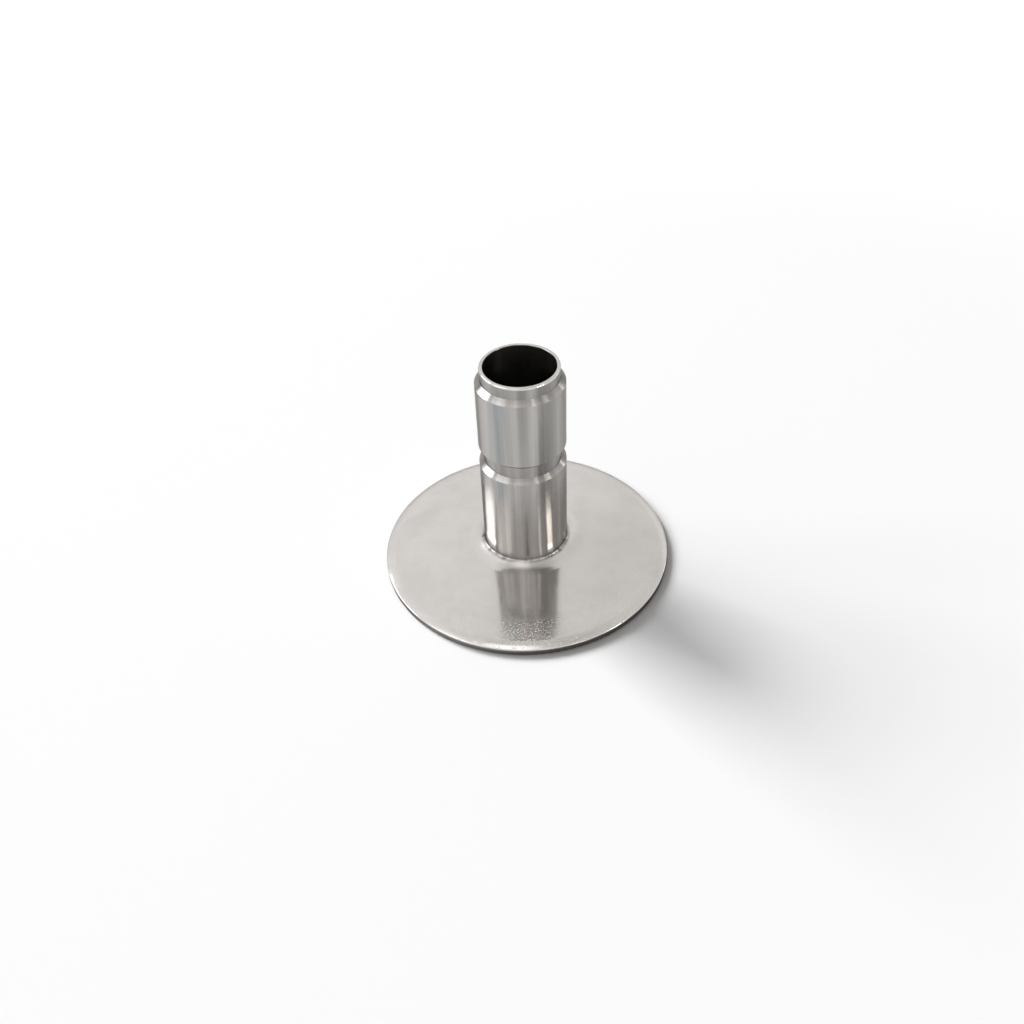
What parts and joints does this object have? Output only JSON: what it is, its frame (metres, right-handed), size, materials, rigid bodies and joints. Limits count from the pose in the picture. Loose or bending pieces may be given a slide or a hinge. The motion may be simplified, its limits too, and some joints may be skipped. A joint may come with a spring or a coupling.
{
  "type": "sanitary clamp quick disconnect adapter",
  "caption": "Polished steel adapter: a round sanitary clamp flange with a sloped back carries a hollow quick disconnect plug with a locking groove, a shoulder and a thin lip.",
  "frame": {"origin": "centre of the flange's sealing face, on the axis", "axes": "+Z along the axis from the sealing face to the plug's nose; X and Y are any two level directions, because the part is turned"},
  "size_m": [0.0506, 0.0506, 0.0399],
  "materials": {
    "polished_stainless": "polished stainless steel, with a mirror-bright flange and a slightly darker tube that shows faint streaks along it"
  },
  "bodies": {
    "root": {"adapter_body": "polished_stainless"}
  },
  "joints": []
}
